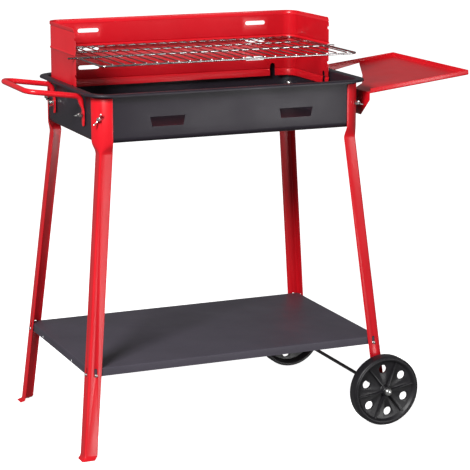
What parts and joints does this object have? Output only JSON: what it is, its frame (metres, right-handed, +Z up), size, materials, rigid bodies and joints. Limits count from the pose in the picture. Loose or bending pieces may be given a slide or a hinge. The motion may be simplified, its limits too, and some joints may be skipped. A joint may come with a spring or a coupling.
{
  "type": "charcoal barbecue trolley",
  "caption": "Charcoal barbecue on splayed angle legs with a windshield, a wire grate, a tilted side tray, a tube handle, a lower shelf and wheels on an axle.",
  "frame": {"origin": "on the ground, under the middle of the whole trolley's box", "axes": "+X towards the side tray and wheels, -Y towards the vents at the front, +Z up"},
  "size_m": [1.0199, 0.569, 0.9],
  "materials": {
    "red_enamel": "gloss",
    "black_enamel": "satin",
    "black_plastic": "matte",
    "zinc": "satin",
    "chrome_wire": "polished"
  },
  "bodies": {
    "trolley": {"fire_bowl": "black_enamel", "leg_front_left": "red_enamel", "leg_front_right": "red_enamel", "leg_back_left": "red_enamel", "leg_back_right": "red_enamel", "lower_shelf": "black_enamel", "side_tray": "red_enamel", "side_handle": "red_enamel", "axle": "black_enamel", "axle_cap_front": "zinc", "axle_cap_back": "zinc", "leg_bolt_front_left": "zinc", "leg_wing_nut_front_left": "zinc", "shelf_screw_front_left_end": "zinc", "shelf_nut_front_left_end": "zinc", "shelf_screw_front_left_face": "zinc", "shelf_nut_front_left_face": "zinc", "leg_bolt_front_right": "zinc", "leg_wing_nut_front_right": "zinc", "shelf_screw_front_right_end": "zinc", "shelf_nut_front_right_end": "zinc", "shelf_screw_front_right_face": "zinc", "shelf_nut_front_right_face": "zinc", "leg_bolt_back_left": "zinc", "leg_wing_nut_back_left": "zinc", "shelf_screw_back_left_end": "zinc", "shelf_nut_back_left_end": "zinc", "shelf_screw_back_left_face": "zinc", "shelf_nut_back_left_face": "zinc", "leg_bolt_back_right": "zinc", "leg_wing_nut_back_right": "zinc", "shelf_screw_back_right_end": "zinc", "shelf_nut_back_right_end": "zinc", "shelf_screw_back_right_face": "zinc", "shelf_nut_back_right_face": "zinc", "handle_bolt_front": "zinc", "handle_wing_nut_front": "zinc", "tray_bolt_front": "zinc", "tray_wing_nut_front": "zinc", "tray_spacer_front": "zinc", "wheel_washer_front": "zinc", "handle_bolt_back": "zinc", "handle_wing_nut_back": "zinc", "tray_bolt_back": "zinc", "tray_wing_nut_back": "zinc", "tray_spacer_back": "zinc", "wheel_washer_back": "zinc"},
    "windshield": {"windshield": "red_enamel"},
    "grate": {"cooking_grate": "chrome_wire"},
    "front_wheel": {"wheel_front": "black_plastic"},
    "back_wheel": {"wheel_back": "black_plastic"}
  },
  "joints": [
    {"name": "wheel_front_spin", "type": "hinge", "parent": "trolley", "child": "front_wheel", "pos_m": [0.268, -0.2525, 0.08], "axis": [0, 1, 0], "continuous": true},
    {"name": "wheel_back_spin", "type": "hinge", "parent": "trolley", "child": "back_wheel", "pos_m": [0.268, 0.2525, 0.08], "axis": [0, 1, 0], "continuous": true},
    {"name": "windshield_lift", "type": "slide", "parent": "trolley", "child": "windshield", "axis": [0, 0, 1], "range_m": [0, 0.15]},
    {"name": "grate_pull", "type": "slide", "parent": "windshield", "child": "grate", "axis": [0, -1, 0], "range_m": [0, 0.25]}
  ]
}
